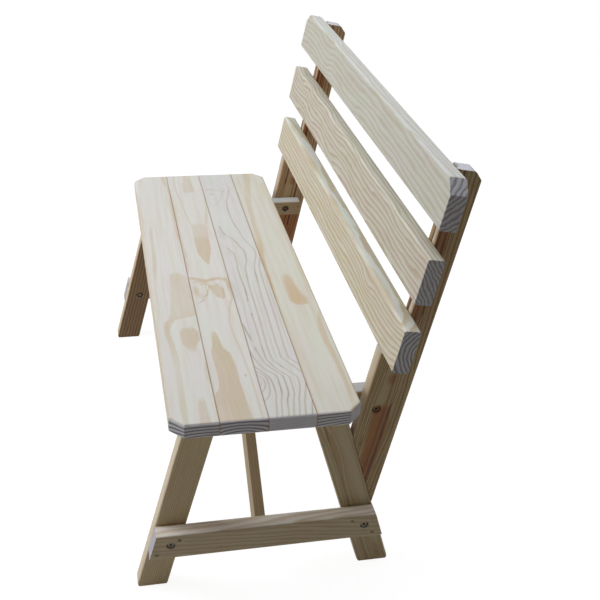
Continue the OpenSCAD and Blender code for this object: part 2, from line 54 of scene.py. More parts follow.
def colour(name, description, default):
    return bpy.props.FloatVectorProperty(
        name=name, description=description, default=default,
        subtype="COLOR", size=3, min=0.0, max=1.0,
    )


def roughness(description, default, low):
    return bpy.props.FloatProperty(
        name="Roughness", description=description, default=default,
        min=low, max=1.0, subtype="FACTOR",
    )


def power(name, description, default):
    return bpy.props.FloatProperty(
        name=name, description=description, default=default,
        min=0.0, max=500.0, subtype="POWER", unit="POWER",
    )


class BENCH_PG_timber(bpy.types.PropertyGroup):
    """Sizes and colours of the pine"""
    seat_pale: colour("Seat sapwood", "Pale wood of the seat boards", srgb(217, 213, 203))
    seat_tan: colour("Seat grain", "Broad tan grain of the seat boards", srgb(201, 183, 156))
    seat_line: colour("Seat rings", "Thin ring lines of the seat boards", srgb(184, 165, 146))
    frame_pale: colour("Frame sapwood", "Pale wood of the legs and the cleat", srgb(224, 211, 184))
    frame_tan: colour("Frame grain", "Broad grain of the legs and the cleat", srgb(198, 170, 130))
    frame_line: colour("Frame rings", "Thin ring lines of the legs and the cleat",
                       srgb(138, 104, 70))
    # This reddening also paints the shade under the seat on the left post.
    heart_and_shade: colour("Heartwood", "Stain that reddens the heart of the posts", (0.70, 0.42, 0.26))
    brace: colour("Brace", "Brown of the braces", srgb(166, 144, 110))
    end_pale: colour("End grain", "Grey of the sawn ends", srgb(230, 227, 227))
    end_dark: colour("End rings", "Dark rings of the sawn ends", srgb(96, 84, 80))
    dirt: colour("Joint dirt", "Dark edges of the joints between boards", srgb(168, 122, 82))
    roughness: roughness("Roughness of the planed wood", 0.62, 0.2)
    relief: bpy.props.FloatProperty(
        name="Relief", description="Height of the raised rings", default=0.00018,
        min=0.0, max=0.001, precision=5, subtype="DISTANCE", unit="LENGTH",
    )


class BENCH_PG_steel(bpy.types.PropertyGroup):
    """Finish of the bolts, washers, nuts and screws"""
    zinc: colour("Zinc", "Zinc-plated bolts of the rails and legs", srgb(112, 102, 86))
    nut: colour("Nuts", "Weathered washers, nuts and pivot bolts", srgb(86, 66, 50))
    screw: colour("Screws", "Yellowed plating of the wood screws", srgb(128, 116, 94))
    roughness: roughness("Roughness of the plating", 0.5, 0.1)


class BENCH_PG_stage(bpy.types.PropertyGroup):
    """Floor, lamps and camera"""
    key: power("Key lamp", "Power of the lamp in front of the bench", 78.0)
    top: power("Top lamp", "Power of the lamp over the bench", 47.0)
    rear: power("Rear lamp", "Power of the lamp behind the bench", 20.0)
    ambient: bpy.props.FloatProperty(
        name="Ambient", description="Strength of the light from all round",
        default=0.095, min=0.0, max=2.0,
    )
    lens: bpy.props.FloatProperty(
        name="Lens", description="Focal length of the camera in millimetres",
        default=55.79, min=20.0, max=200.0,
    )
    floor_size: bpy.props.FloatProperty(
        name="Floor", description="Half the width of the floor",
        default=14.0, min=2.0, max=50.0, subtype="DISTANCE", unit="LENGTH",
    )


def timber():
    return bpy.context.scene.bench_timber


def steel():
    return bpy.context.scene.bench_steel


def stage_settings():
    return bpy.context.scene.bench_stage


# ---------------------------------------------------------------- wiring of nodes

class Wiring:
    """Adds nodes to one material, world or group and joins them."""

    def __init__(self, tree):
        self.tree = tree

    def put(self, socket, value):
        if isinstance(value, bpy.types.NodeSocket):
            self.tree.links.new(value, socket)
        else:
            socket.default_value = value

    def node(self, kind, values=None, **settings):
        """A new node; values are set or joined by the name or number of an input."""
        made = self.tree.nodes.new(kind)
        for name, value in settings.items():
            setattr(made, name, value)
        for name, value in (values or {}).items():
            self.put(made.inputs[name], value)
        return made

    def calc(self, operation, *values):
        return self.node(
            "ShaderNodeMath", dict(enumerate(values)), operation=operation
        ).outputs[0]

    def plus(self, first, second):
        return self.calc("ADD", first, second)

    def minus(self, first, second):
        return self.calc("SUBTRACT", first, second)

    def times(self, first, second):
        return self.calc("MULTIPLY", first, second)

    def times_plus(self, first, second, third):
        return self.calc("MULTIPLY_ADD", first, second, third)

    def vector(self, operation, first, second):
        made = self.node("ShaderNodeVectorMath", {0: first, 1: second}, operation=operation)
        return made.outputs["Value" if operation == "DOT_PRODUCT" else "Vector"]

    def smooth(self, value, low, high, start=0.0, end=1.0):
        return self.node("ShaderNodeMapRange", {
            "Value": value, "From Min": low, "From Max": high, "To Min": start, "To Max": end,
        }, interpolation_type="SMOOTHSTEP").outputs["Result"]

    def mix(self, factor, first, second, blend="MIX"):
        made = self.node("ShaderNodeMix", data_type="RGBA", blend_type=blend)
        sockets = [socket for socket in made.inputs if socket.enabled]
        for socket, value in zip(sockets, (factor, first, second)):
            self.put(socket, value)
        return next(s for s in made.outputs if s.enabled)

    def tinted(self, base, tint):
        """A colour times another one."""
        return self.mix(1.0, base, tint, "MULTIPLY")

    def grey(self, value):
        return self.node(
            "ShaderNodeCombineColor", {"Red": value, "Green": value, "Blue": value}
        ).outputs[0]

    def noise(self, point, reach, detail=2.0, rough=0.5):
        """Noise from -1 to 1 whose patches reach so far along, across and out of the board."""
        moved = self.vector("MULTIPLY", point, [1.0 / length for length in reach])
        made = self.node("ShaderNodeTexNoise", {
            "Vector": moved, "Scale": 1.0, "Detail": detail, "Roughness": rough,
        })
        return self.times_plus(made.outputs["Fac"], 2.0, -1.0)

    def apart(self, point):
        return self.node("ShaderNodeSeparateXYZ", {"Vector": point}).outputs

    def shifted(self, point, seed, stride):
        """The point moved along the board, by its own length for each seed."""
        shift = self.node("ShaderNodeCombineXYZ", {"X": self.times(seed, stride)})
        return self.vector("ADD", point, shift.outputs[0])

    def curve(self, along, points, length):
        """A value that runs smoothly through given (along, value) points."""
        values = [value for _, value in points]
        base, span = min(values), max(max(values) - min(values), 1e-6)
        made = self.node("ShaderNodeFloatCurve", {
            "Factor": 1.0, "Value": self.calc("DIVIDE", along, length),
        })
        mapping = made.mapping
        mapping.use_clip = False
        mapping.extend = "HORIZONTAL"
        line = mapping.curves[0]
        while len(line.points) < len(points):
            line.points.new(0.5, 0.5)
        for handle, (x, y) in zip(line.points, points):
            handle.location = (x / length, (y - base) / span)
            handle.handle_type = "AUTO_CLAMPED"
        mapping.update()
        return self.times_plus(made.outputs[0], span, base)

    def seen(self):
        """1 for rays of the camera, of reflections and of glass, 0 for light that bounces."""
        path = self.node("ShaderNodeLightPath").outputs
        return self.calc("MAXIMUM", path["Is Camera Ray"], self.calc(
            "MAXIMUM", path["Is Glossy Ray"], path["Is Transmission Ray"]
        ))


def cleared(block):
    """The wiring of a material or world, with no nodes in it."""
    block.use_nodes = True
    block.node_tree.nodes.clear()
    return Wiring(block.node_tree)


ORIGIN = (0.0, 0.0, 0.0)


def new_group(name, inputs, outputs):
    """An empty shader node group; returns its wiring and the sockets at both ends.

    Inputs and outputs are given by name with a default, of one number for a value, three for a
    vector and four for a colour.
    """
    kinds = {1: "NodeSocketFloat", 3: "NodeSocketVector", 4: "NodeSocketColor"}
    group = bpy.data.node_groups.new(name, "ShaderNodeTree")
    for way, sockets in (("INPUT", inputs), ("OUTPUT", outputs)):
        for label, default in sockets.items():
            size = 1 if isinstance(default, float) else len(default)
            made = group.interface.new_socket(label, in_out=way, socket_type=kinds[size])
            made.default_value = default
    w = Wiring(group)
    return w, w.node("NodeGroupInput").outputs, w.node("NodeGroupOutput").inputs


def layer_group(name, inputs):
    """A group that adds to the phase at a point, with its own inputs besides."""
    return new_group(name, {"Point": ORIGIN, **inputs, "Phase": 0.0}, {"Phase": 0.0})


# A reach of three lengths is how far a noise's patches go along, across and out of a board
RING_SEED_STRIDE = 371.0
SLOW_REACH, SLOW_WOBBLE = (170.0, 30.0, 30.0), 2.6
FINE_REACH, FINE_WOBBLE = (45.0, 7.0, 7.0), 0.6
WANDER_LENGTH = 60.0


def ring_group():
    """Growth rings: the phase rises by one from ring to ring.

    reach = pith + depth into the wood, side = across - centre,
    phase = crest + rate * (hypot(reach, side) - |pith|)
            + depth * (depth rate + skew * side + arch * side squared)
    plus a slow and a fine wobble. Point is in millimetres: along, across, out of the face. The
    pith lies below the face where its distance is negative and in front of it where positive.
    """
    w, given, out = new_group("growth rings", {
        "Point": ORIGIN, "Crest": 0.3, "Ring Rate": 0.1, "Pith": -30.0, "Centre": 40.0,
        "Depth Rate": 0.0, "Skew": 0.0, "Arch": 0.0, "Wobble": 0.06, "Seed": 0.0,
    }, {"Phase": 0.0})
    _, across, height = w.apart(given["Point"])
    depth = w.calc("ABSOLUTE", height)
    side = w.minus(across, given["Centre"])
    reach = w.plus(given["Pith"], depth)
    radius = w.calc("SQRT", w.plus(w.times(reach, reach), w.times(side, side)))
    past = w.minus(radius, w.calc("ABSOLUTE", given["Pith"]))
    phase = w.plus(given["Crest"], w.times(past, given["Ring Rate"]))
    slope = w.times_plus(side, given["Skew"], given["Depth Rate"])
    slope = w.times_plus(w.times(side, side), given["Arch"], slope)
    phase = w.times_plus(depth, slope, phase)
    moved = w.shifted(given["Point"], given["Seed"], RING_SEED_STRIDE)
    for reach, share in ((SLOW_REACH, SLOW_WOBBLE), (FINE_REACH, FINE_WOBBLE)):
        phase = w.times_plus(w.noise(moved, reach), w.times(given["Wobble"], share), phase)
    w.put(out["Phase"], phase)
    return w.tree


def wandered(w, across, point, width, most):
    """Across plus a slow drift, in millimetres, that keeps lines and edges from looking ruled."""
    return w.plus(across, w.times(w.noise(point, (WANDER_LENGTH, width, width)), most))


def swell_group():
    """A smooth bump: height * exp(-distance squared), distance in units of the size per axis."""
    w, given, out = layer_group("grain swell", {
        "Centre": ORIGIN, "Size": (40.0, 20.0, 30.0), "Height": 0.5,
    })
    away = w.vector("DIVIDE", w.vector("SUBTRACT", given["Point"], given["Centre"]), given["Size"])
    bump = w.calc("EXPONENT", w.times(w.vector("DOT_PRODUCT", away, away), -1.0))
    w.put(out["Phase"], w.times_plus(bump, given["Height"], given["Phase"]))
    return w.tree


SWELL_DEPTH = 12.0       # reach of a swell into the wood, in millimetres
LAYER_DEPTH = 9.0        # reach of a band or patch into the wood
# For bands and patches: how they wander (width of the noise, most drift), the noise by which
# their strength drifts (reach, detail), and the share by which it does
BAND_WANDER, BAND_DRIFT, BAND_UNEVEN = (14.0, 1.6), ((70.0, 20.0, 20.0), 2.0), 0.30
PATCH_WANDER, PATCH_DRIFT, PATCH_UNEVEN = (9.0, 4.0), ((50.0, 5.0, 5.0), 3.0), 0.34


def band_group():
    """A soft band: height * exp(-(distance from its middle line / width)^4 - (depth / reach)^2)."""
    w, given, out = layer_group("grain band", {"Middle": 45.0, "Width": 6.0, "Height": 0.4})
    _, across, height = w.apart(given["Point"])
    across = wandered(w, across, given["Point"], *BAND_WANDER)
    share = w.calc("DIVIDE", w.minus(across, given["Middle"]), given["Width"])
    depth = w.calc("DIVIDE", height, LAYER_DEPTH)
    square = w.times(share, share)
    square = w.times_plus(depth, depth, w.times(square, square))
    bump = w.calc("EXPONENT", w.times(square, -1.0))
    uneven = w.noise(given["Point"], *BAND_DRIFT)
    bump = w.times(bump, w.times_plus(uneven, BAND_UNEVEN, 1.0))
    w.put(out["Phase"], w.times_plus(bump, given["Height"], given["Phase"]))
    return w.tree


def patch_group():
    """A patch between two edges across the board, each faded over a few millimetres.

    It is one between the edges and falls with exp(-(depth / reach)^2) into the wood.
    """
    w, given, out = layer_group("grain patch", {
        "Upper": 30.0, "Lower": 50.0, "Fade": 3.0, "Height": 0.4,
    })
    _, across, height = w.apart(given["Point"])
    across = wandered(w, across, given["Point"], *PATCH_WANDER)

    def below(edge):
        return w.smooth(across, w.minus(edge, given["Fade"]), w.plus(edge, given["Fade"]))

    inside = w.calc("MAXIMUM", w.minus(below(given["Upper"]), below(given["Lower"])), 0.0)
    depth = w.calc("DIVIDE", height, LAYER_DEPTH)
    shallow = w.calc("EXPONENT", w.times(w.times(depth, depth), -1.0))
    uneven = w.noise(given["Point"], *PATCH_DRIFT)
    bump = w.times(w.times(inside, shallow), w.times_plus(uneven, PATCH_UNEVEN, 1.0))
    w.put(out["Phase"], w.times_plus(bump, given["Height"], given["Phase"]))
    return w.tree


SURFACE_SEED_STRIDE = 517.0
# Shares of a ring: where its tan is full, where its line rises to full, and where the dark ring
# of a sawn end rises and closes
TAN_FULL = 0.88
LINE_RISE = (0.82, 0.94)
END_RISE, END_CLOSING = (0.30, 0.80), (0.93, 1.0)
# Noises, each by its reach, detail and roughness: the slow drift of colour, the streaks, the
# fibres and the hue along the grain, and the pores of a sawn end
DRIFT = ((240.0, 11.0, 11.0), 3.0, 0.6)
STREAK = ((90.0, 2.4, 2.4), 3.0, 0.6)
FIBRE = ((26.0, 0.55, 0.55), 2.0, 0.6)
HUE = ((150.0, 26.0, 26.0), 3.0, 0.6)
PORE = ((2.0, 0.8, 0.8), 2.0, 0.7)
WARMING = (-0.25, 0.55, 0.0, 0.36)   # from the drift to the share of tan that it adds
HUE_SPREAD = (-0.5, 0.5)             # from the pinkish wood to the greenish
PINKISH = (1.06, 1.02, 1.05, 1.0)
GREENISH = (1.02, 1.045, 0.995, 1.0)
PORE_SHADE, PORE_RELIEF = 0.10, 0.5
TAN_ROUGHER, END_ROUGHER, STREAK_ROUGHER = -0.06, 0.2, 0.05
FIBRE_RELIEF = 0.22


def pine_group():
    """Colour, roughness and relief of pine from the phase of its rings.

    A ring runs from pale through broad tan to a thin line, and closes within its softness.
    """
    w, given, out = new_group("pine surface", {
        "Point": ORIGIN, "Phase": 0.0, "End Phase": 0.0, "End Grain": 0.0,
        "Pale": (0.8, 0.75, 0.6, 1), "Tan": (0.7, 0.55, 0.4, 1), "Line": (0.5, 0.4, 0.3, 1),
        "End Pale": (0.5, 0.5, 0.45, 1), "End Dark": (0.15, 0.13, 0.12, 1),
        "Tan Start": 0.45, "Softness": 0.05, "Line Strength": 0.35, "End Rings": 1.0,
        "Fibre": 0.035, "Roughness": 0.6, "Seed": 0.0,
    }, {"Color": (0.8, 0.75, 0.6, 1), "Roughness": 0.6, "Height": 0.0})
    point = w.shifted(given["Point"], given["Seed"], SURFACE_SEED_STRIDE)
    ring = w.calc("FRACT", given["Phase"])
    closing = w.smooth(ring, w.minus(1.0, given["Softness"]), 1.0, 1.0, 0.0)
    broad = w.times(w.smooth(ring, given["Tan Start"], TAN_FULL), closing)
    thin = w.times(w.smooth(ring, *LINE_RISE), closing)
    drift, streak, fibre, hue, pore = (
        w.noise(point, *kind) for kind in (DRIFT, STREAK, FIBRE, HUE, PORE)
    )
    wood = w.mix(broad, given["Pale"], given["Tan"])
    wood = w.mix(w.times(thin, given["Line Strength"]), wood, given["Line"])
    wood = w.mix(w.smooth(drift, *WARMING), wood, given["Tan"])
    wood = w.tinted(wood, w.mix(w.smooth(hue, *HUE_SPREAD), PINKISH, GREENISH))
    shade = w.times_plus(streak, given["Fibre"], 1.0)
    wood = w.tinted(wood, w.grey(w.times_plus(fibre, given["Fibre"], shade)))
    # Sawn ends: grey, with dark rings and open pores
    sawn = w.calc("FRACT", given["End Phase"])
    end_ring = w.times(w.smooth(sawn, *END_RISE), w.smooth(sawn, *END_CLOSING, 1.0, 0.0))
    end = w.mix(w.times(end_ring, given["End Rings"]), given["End Pale"], given["End Dark"])
    end = w.tinted(end, w.grey(w.times_plus(pore, PORE_SHADE, 1.0)))
    w.put(out["Color"], w.mix(given["End Grain"], wood, end))
    rough = w.times_plus(broad, TAN_ROUGHER, given["Roughness"])
    rough = w.times_plus(given["End Grain"], END_ROUGHER, rough)
    w.put(out["Roughness"], w.times_plus(streak, STREAK_ROUGHER, rough))
    relief = w.times_plus(fibre, FIBRE_RELIEF, broad)
    w.put(out["Height"], w.times_plus(w.times(pore, given["End Grain"]), PORE_RELIEF, relief))
    return w.tree


PLATING_NOISE = ([1 / 220.0] * 3, 3.0, 0.6)      # reach in metres, detail and roughness
PLATING_SHADE = (0.14, 0.95)     # drift of its colour, and its middle
PLATING_ROUGHER = 0.10


def plating_group():
    """Patchy zinc: colour and roughness drift over the surface."""
    w, given, out = new_group("plating", {
        "Point": ORIGIN, "Metal": (0.5, 0.5, 0.5, 1), "Roughness": 0.4,
    }, {"Color": (0.5, 0.5, 0.5, 1), "Roughness": 0.4})
    patch = w.noise(given["Point"], *PLATING_NOISE)
    w.put(out["Color"], w.tinted(given["Metal"], w.grey(w.times_plus(patch, *PLATING_SHADE))))
    w.put(out["Roughness"], w.times_plus(patch, PLATING_ROUGHER, given["Roughness"]))
    return w.tree


def shared(name, build):
    return bpy.data.node_groups.get(name) or build()


# ---------------------------------------------------------------- grain of each board

# A board's grain is set in millimetres from its own corner: along it, across its face and out of
# the face. A list is a curve of (along, value) points. A swell is (along, across, reach along,
# reach across, rings) and a line is what ring_line takes. A band is (middle line, width, rings)
# and a patch is (upper edge, lower edge, fade, rings), each a number or a curve. The reddening
# patches have a share of reddening in place of rings; most mark reddish core wood and a pin knot,
# and one on the left post is painted shade under the seat. Tones are the screen values of the pale
# wood, the broad tan and the thin lines, where a board has its own. The end view holds what differs
# on the sawn ends. A tint of the two sides is painted shade, a tint of the upper edge is painted
# light, and joints are the edges that gather dirt.

SEAT_LENGTH = 1100.0
PLAIN_GRAIN = dict(
    length=SEAT_LENGTH, crest=.3, rate=.1, pith=-30.0, centre=40.0, depth=0.0, skew=0.0, arch=0.0,
    wobble=.04, tan_start=.45, soft=.05, line=.35, fibre=.035, end_rings=1.0, end_shade=1.0,
    swells=(), lines=(), bands=(), patches=(), heart_and_shade=(),
)


def shown(start, end, height, rise=14.0):
    """Heights of a line or patch that is there only from start to end along a seat board."""
    points = [(start - rise, 0.0), (start + rise, height)]
    if start <= 0.0:
        points = [(0.0, height)]
    if end < SEAT_LENGTH:
        points += [(end - rise, height), (end + rise, 0.0), (SEAT_LENGTH, 0.0)]
    else:
        points.append((SEAT_LENGTH, height))
    return points if points[0][0] <= 0.0 else [(0.0, 0.0), *points]


def ring_line(start, end, path, height=0.64, width=2.1, rise=10.0):
    """The band of a thin ring line that follows a path of (along, across) points."""
    return path, width, shown(start, end, height, rise)


SEAT_COMMON = dict(crest=.20, rate=.0, tan_start=.20, end_rings=.82, end_shade=.84)
SEAT_BOARD_1 = dict(
    pith=-70.0, centre=70.0, line=0.3, depth=.15, arch=-.00001, wobble=.05,
    end_view=dict(crest=-.25),
    patches=[
        ([(540, 58), (560, 50), (600, 46), (700, 38), (742, 30), (765, 20), (800, 17), (840, 23),
          (900, 25), (1100, 24)],
         [(540, 62), (560, 80), (600, 90), (730, 92), (742, 70), (752, 42), (775, 33), (810, 30),
          (850, 34), (900, 37), (1100, 36)], 3.0,
         [(0, 0), (535, 0), (565, .34), (720, .32), (770, .42), (830, .40), (930, .28),
          (1100, .30)]),
        ([(770, 66), (776, 58), (790, 51), (815, 46), (840, 50), (862, 57), (888, 65)],
         [(770, 68), (776, 75), (790, 82), (812, 88), (835, 83), (860, 75), (888, 67)], 3.5,
         [(0, 0), (766, 0), (784, .34), (815, .46), (860, .34), (888, .1), (1100, 0)]),
        ([(1010, 66), (1040, 58), (1100, 54)], [(1010, 68), (1040, 74), (1100, 76)], 3.0,
         shown(1025, 1100, .36, 20.0)),
        ([(880, 90), (920, 84), (960, 82), (1000, 90)], 100.0, 2.0, shown(905, 985, .36, 20.0)),
        ([(0, 72), (60, 78), (100, 84), (300, 82), (400, 86)],
         [(0, 84), (60, 88), (100, 96), (400, 96)], 3.0, shown(0, 400, .40, 40.0)),
        ([(280, 22), (350, 18), (500, 15), (560, 12), (740, 10)],
         [(280, 26), (350, 27), (500, 25), (560, 19), (740, 14)], 3.0, shown(310, 740, .32, 40.0)),
        (-20.0, [(0, 0), (100, 3), (300, 8), (560, 5), (1100, 6)], 2.5,
         shown(110, 1100, .30, 40.0)),
    ],
)
SEAT_BOARD_2 = dict(
    pith=-40.0, centre=40.0, line=0.4, depth=.15, arch=-.000028, wobble=.06,
    swells=[(580, 8, 6, 14, .62), (588, 24, 7, 10, .60), (596, 36, 7, 9, .60),
            (590, 50, 6, 10, .60), (585, 64, 6, 12, .58), (592, 80, 9, 10, .50),
            (597, 14, 5, 12, .36), (607, 28, 6, 9, .40), (620, 39, 12, 6, .60),
            (636, 10, 26, 9, .44), (662, 22, 16, 8, .26), (963, 69, 5, 3, .65),
            (622, 85, 36, 6, .40)],
    lines=[
        (0, 310, [(0, 21), (70, 16), (100, 17), (150, 22), (230, 27), (305, 34)], .34, 2.4, 25.0),
        (150, 310, [(0, 89), (160, 87), (240, 83), (300, 75), (320, 72)], .38, 2.8, 25.0),
        (612, 690, [(610, 38), (640, 35), (665, 28), (692, 6)], .60, 2.4),
        (604, 676, [(604, 54), (620, 65), (645, 71), (676, 65)], .50, 2.4, 6.0),
    ],
    bands=[
        ([(590, 84), (650, 87), (690, 80), (740, 70), (790, 66), (840, 69), (900, 74), (1000, 78),
          (1100, 79)], [(590, 5), (660, 4), (700, 3), (1100, 2.6)], shown(600, 1100, .36, 12.0)),
    ],
    patches=[
        ([(0, 46), (50, 40), (70, 36), (115, 38), (125, 46)],
         [(0, 64), (60, 66), (110, 66), (125, 60)], 3.0, shown(0, 118, .34, 8.0)),
        ([(290, 36), (310, 34), (350, 35), (400, 33), (450, 34), (480, 39), (500, 44), (522, 53)],
         [(290, 66), (310, 69), (350, 72), (400, 71), (450, 67), (480, 62), (500, 58), (522, 54)],
         2.5,
         [(0, 0), (285, 0), (315, .30), (370, .36), (420, .54), (490, .56), (518, .40), (530, 0),
          (1100, 0)]),
        ([(790, 27), (820, 21), (860, 17), (880, 13), (920, 12), (960, 14), (1000, 11), (1012, 4),
          (1030, 1), (1100, -2)],
         [(790, 29), (830, 34), (860, 39), (900, 52), (950, 55), (1000, 57), (1100, 62)], 2.5,
         [(0, 0), (785, 0), (805, .42), (840, .58), (940, .52), (1100, .50)]),
        ([(608, 44), (620, 42), (640, 44), (660, 50), (678, 62)],
         [(608, 60), (620, 66), (640, 70), (660, 69), (678, 64)], 3.0, shown(612, 672, .44, 6.0)),
        (-20.0, [(60, 2), (300, 5), (440, 7), (560, 4)], 2.0, shown(100, 560, .36, 30.0)),
    ],
)
SEAT_BOARD_3 = dict(
    crest=.18, pith=-40.0, centre=45.0, tones=((213, 210, 203), (194, 184, 168), (158, 149, 138)),
    line=0.9, wobble=.05, end_rings=.26,
    end_view=dict(crest=.3, depth=.20, skew=.0007, wobble=.12),
    swells=[(134, 20, 9, 7, .45), (102, 10, 6, 9, .34), (104, 24, 6, 9, .34), (110, 38, 6, 8, .36),
            (118, 50, 7, 7, .40)],
    lines=[
        (440, 1100,
         [(430, 17), (445, 19), (460, 26), (480, 30), (510, 30), (560, 27), (640, 29), (740, 27),
          (900, 27), (930, 33), (950, 42), (970, 55), (988, 62), (1010, 62), (1050, 55),
          (1100, 46)]),
        (325, 1100,
         [(320, 14), (360, 19), (400, 39), (440, 49), (470, 56), (500, 55), (560, 44), (640, 41),
          (740, 40), (900, 38), (930, 47), (950, 58), (970, 70), (988, 77), (1010, 75), (1050, 66),
          (1100, 57)]),
        (110, 972,
         [(110, 70), (150, 62), (200, 52), (240, 50), (300, 52), (350, 59), (400, 66), (440, 76),
          (465, 82), (500, 77), (560, 66), (640, 62), (740, 60), (900, 58), (920, 64), (940, 74),
          (955, 82), (972, 92)]),
        (500, 945,
         [(480, 92), (520, 84), (560, 78), (640, 76), (740, 75), (840, 73), (900, 72), (925, 80),
          (945, 92)]),
        (780, 1100,
         [(700, -4), (780, 2), (840, 8), (900, 16), (920, 20), (940, 28), (960, 40), (988, 50),
          (1010, 50), (1050, 44), (1100, 36)]),
        (880, 1100,
         [(860, -3), (900, 2), (920, 7), (940, 14), (960, 27), (988, 38), (1010, 38), (1050, 32),
          (1100, 24)]),
        (935, 1100,
         [(930, -4), (950, 8), (965, 16), (988, 25), (1010, 26), (1050, 22), (1100, 14)]),
        (950, 1052, [(945, -4), (965, 8), (988, 18), (1010, 17), (1035, 10), (1055, -4)]),
        (962, 1024, [(960, -4), (975, 6), (990, 11), (1008, 8), (1025, -4)]),
        (978, 1004, [(974, -3), (990, 4), (1006, -3)], .5, 1.7, 5.0),
        (985, 1100, [(980, 96), (1010, 88), (1050, 77), (1100, 68)]),
        (1044, 1100, [(1035, 97), (1060, 89), (1100, 80)]),
        (560, 900, [(560, 12), (660, 15), (760, 13), (900, 9)], .34, 2.0, 60.0),
        (620, 930, [(600, 51), (740, 50), (900, 48), (930, 54)], .36, 2.0, 40.0),
        (560, 900, [(560, 86), (700, 84), (900, 83)], .36, 2.0, 60.0),
        (70, 118, [(60, 40), (80, 44), (100, 50), (118, 58)], .36),
        (76, 112, [(70, 66), (90, 72), (112, 80)], .32),
        (118, 214, [(110, 55), (150, 44), (180, 34), (218, 12)], .36, 2.4),
    ],
    patches=[
        ([(320, 8), (345, 6), (400, 12)], [(320, 14), (345, 18), (400, 24)], 3.0,
         shown(332, 400, .26)),
        ([(440, 12), (485, 8)], [(440, 18), (485, 28)], 3.0, shown(448, 482, .26)),
        (-20.0, [(590, 4), (640, 13), (690, 12)], 2.5, shown(600, 690, .30, 20.0)),
        (24.0, 31.0, 2.0, shown(690, 745, .2)),
        (2.0, 9.0, 2.0, shown(0, 60, .24, 20.0)),
    ],
)
SEAT_BOARD_4 = dict(
    pith=-30.0, centre=45.0, tones=((211, 208, 194), (197, 174, 138), (184, 160, 130)), line=0.15,
    depth=.17, skew=.0008, wobble=0.03,
    patches=[
        ([(0, 33), (60, 28), (100, 24), (200, 14), (300, 8), (400, 6), (500, -2), (560, -6)],
         [(0, 60), (60, 50), (100, 41), (200, 29), (300, 20), (400, 17), (500, 9), (560, 4)], 4.0,
         [(0, .30), (100, .30), (400, .34), (470, .44), (560, .40), (640, .3), (700, 0),
          (1100, 0)]),
        ([(570, 42), (600, 32), (650, 29), (690, 29), (712, 36), (724, 50)],
         [(570, 46), (600, 54), (640, 58), (680, 65), (708, 69), (724, 56)], 8.0,
         [(0, 0), (562, 0), (590, .34), (640, .48), (700, .52), (720, .3), (732, 0), (1100, 0)]),
        ([(720, 82), (760, 76), (800, 70), (850, 66), (900, 68), (1000, 72), (1060, 70),
          (1100, 62)],
         [(720, 88), (760, 86), (800, 82), (850, 80), (900, 80), (1000, 82), (1100, 76)], 3.5,
         [(0, 0), (715, 0), (760, .30), (850, .38), (1050, .32), (1100, .26)]),
        ([(60, 66), (140, 66), (200, 76), (560, 76)], [(60, 84), (140, 84), (200, 86), (560, 88)],
         4.0,
         [(0, 0), (50, 0), (90, .24), (150, .20), (230, .26), (560, .28), (700, .16), (740, 0),
          (1100, 0)]),
        (-20.0, 5.0, 2.0, [(0, 0), (540, .30), (680, .34), (720, .2), (1100, .24)]),
    ],
)
SEAT_GRAIN = (SEAT_BOARD_1, SEAT_BOARD_2, SEAT_BOARD_3, SEAT_BOARD_4)

# On a slat, across runs down from the top edge of its front face
SLAT_COMMON = dict(length=1095.0, end_shade=.70)
# On each slat the lighter, cooler tint of the upper edge is painted light from above.
SLAT_GRAIN = {
    "back_slat_top": dict(
        crest=[(0, .2), (120, .7), (240, .1), (330, .9), (480, .4), (600, .9), (760, .5),
               (900, .2), (1095, -.9)],
        rate=.11, pith=141.0, centre=-96.0, wobble=.34, soft=.34, line=.5, tan_start=.24,
        seed=11, tones=((197, 195, 181), (178, 167, 140), (160, 144, 112)), end_rings=.62,
        painted_top_light=(1.10, 1.13, 1.24),
    ),
    "back_slat_middle": dict(
        crest=[(0, .2), (60, .7), (150, .3), (230, .9), (330, .5), (450, 1.0), (560, .5),
               (700, .8), (850, .5), (950, .8), (1095, .5)],
        rate=.14, pith=242.0, centre=222.0, wobble=.38, soft=.22, line=.9, tan_start=.22,
        seed=12, tones=((204, 199, 182), (178, 158, 130), (140, 112, 80)), end_rings=.6,
        painted_top_light=(1.07, 1.13, 1.16),
        swells=[(80, 12, 50, 16, .6), (250, 14, 80, 12, .4), (380, 6, 60, 12, .4)],
    ),
    "back_slat_bottom": dict(
        crest=[(0, .2), (120, .6), (300, .9), (450, .5), (600, .8), (800, .5), (930, .8),
               (1095, -.9)],
        rate=.115, pith=-60.0, centre=125.0, wobble=.30, soft=.22, line=.8, tan_start=.22,
        seed=13, tones=((211, 205, 185), (190, 168, 130), (156, 125, 86)), end_rings=.7,
        painted_top_light=(1.12, 1.22, 1.35), end_view=dict(crest=.3, rate=.13, pith=-70.0, centre=44.0),
        swells=[(868, 36, 42, 24, 1.1), (520, 62, 120, 14, .5), (250, 30, 130, 16, -.5)],
    ),
}
